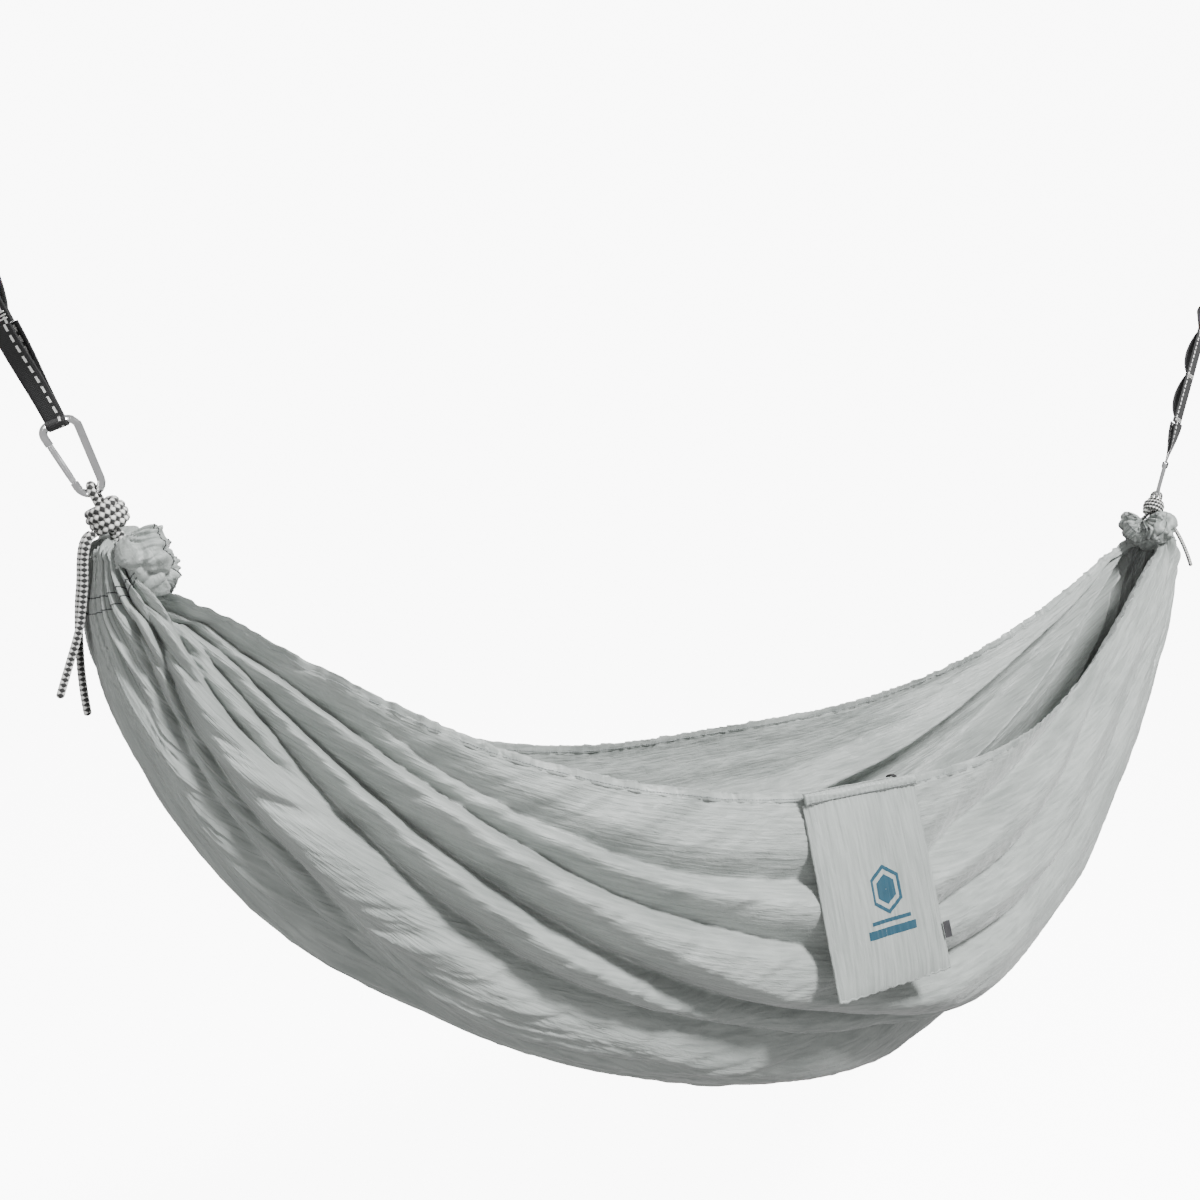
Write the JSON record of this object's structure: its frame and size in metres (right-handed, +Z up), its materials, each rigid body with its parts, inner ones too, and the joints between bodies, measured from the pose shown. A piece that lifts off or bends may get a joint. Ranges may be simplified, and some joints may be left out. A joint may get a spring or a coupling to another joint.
{
  "type": "camping hammock",
  "caption": "Gathered-end nylon hammock on knotted ropes, carabiners and daisy-chain tree straps, with a storage pouch on its front hem.",
  "frame": {"origin": "centre of the left strap's tree eye", "axes": "+X runs level to the centre of the right strap's tree eye, +Y to the back of the hammock, away from the pouch, and +Z up"},
  "size_m": [2.6003, 0.5384, 1.2776],
  "materials": {
    "nylon": "crinkled parachute nylon, slight sheen",
    "rope": "braided polyester, white with black flecks",
    "webbing": "black woven polyester webbing with a white reflective tracer",
    "thread": "white bar-tack thread",
    "carabiner": "polished",
    "gate_steel": "plain",
    "label": "woven label, blank",
    "drawcord": "3 mm braided cord",
    "lock_plastic": "moulded"
  },
  "bodies": {
    "straps": {"left_tree_eye": "webbing", "left_base_webbing": "webbing", "left_daisy_loops": "webbing", "left_end_loop": "webbing", "left_bar_tacks": "thread", "left_carabiner_body": "carabiner", "left_gate_rivet": "gate_steel", "right_tree_eye": "webbing", "right_base_webbing": "webbing", "right_daisy_loops": "webbing", "right_end_loop": "webbing", "right_bar_tacks": "thread", "right_carabiner_body": "carabiner", "right_gate_rivet": "gate_steel"},
    "hammock": {"hammock_body": "nylon", "front_edge_hem": "nylon", "back_edge_hem": "nylon", "left_end_channel": "nylon", "left_rope_ring": "rope", "left_rope_knot": "rope", "left_rope_bight": "rope", "left_rope_tail_long": "rope", "left_rope_tail_short": "rope", "right_end_channel": "nylon", "right_rope_ring": "rope", "right_rope_knot": "rope", "right_rope_bight": "rope", "right_rope_tail_long": "rope", "right_rope_tail_short": "rope", "pouch_tape": "nylon", "drawcord_strand_a": "drawcord", "drawcord_strand_b": "drawcord", "drawcord_knot": "drawcord"},
    "left_gate": {"left_gate_arm": "carabiner", "left_gate_pin": "gate_steel", "left_gate_plunger": "gate_steel", "left_gate_spring": "gate_steel"},
    "right_gate": {"right_gate_arm": "carabiner", "right_gate_pin": "gate_steel", "right_gate_plunger": "gate_steel", "right_gate_spring": "gate_steel"},
    "pouch": {"pouch_back_panel": "nylon", "pouch_front_panel": "nylon", "pouch_tunnel": "nylon", "pouch_label": "label"},
    "cord_lock": {"cord_lock_body": "lock_plastic", "cord_lock_spring": "gate_steel"},
    "lock_button": {"cord_lock_button": "lock_plastic"}
  },
  "joints": [
    {"name": "hammock_swing", "type": "hinge", "parent": "straps", "child": "hammock", "pos_m": [0.19727, 0, -0.40446], "axis": [1, 0, 0], "range_deg": [-15, 15]},
    {"name": "left_gate_swing", "type": "hinge", "parent": "straps", "child": "left_gate", "pos_m": [0.17842, 0.006, -0.39155], "axis": [0.422, 0.8829, 0.2058], "range_deg": [0, 24], "stiffness_Nm_per_rad": 0.2, "springref_deg": -17.19},
    {"name": "right_gate_swing", "type": "hinge", "parent": "straps", "child": "right_gate", "pos_m": [2.38187, 0.006, -0.39155], "axis": [0.422, -0.8829, -0.2058], "range_deg": [0, 24], "stiffness_Nm_per_rad": 0.2, "springref_deg": -17.19},
    {"name": "pouch_swing", "type": "hinge", "parent": "hammock", "child": "pouch", "pos_m": [1.11014, -0.22, -0.79487], "axis": [-0.9969, 0.0785, 0], "range_deg": [0, 60]},
    {"name": "cord_lock_slide", "type": "slide", "parent": "hammock", "child": "cord_lock", "axis": [0, 0, -1], "range_m": [0, 0.22]},
    {"name": "lock_button_press", "type": "slide", "parent": "cord_lock", "child": "lock_button", "axis": [-1, 0, 0], "range_m": [0, 0.003], "stiffness_N_per_m": 500, "springref_m": -0.003, "deforming": ["cord_lock_spring"]}
  ]
}
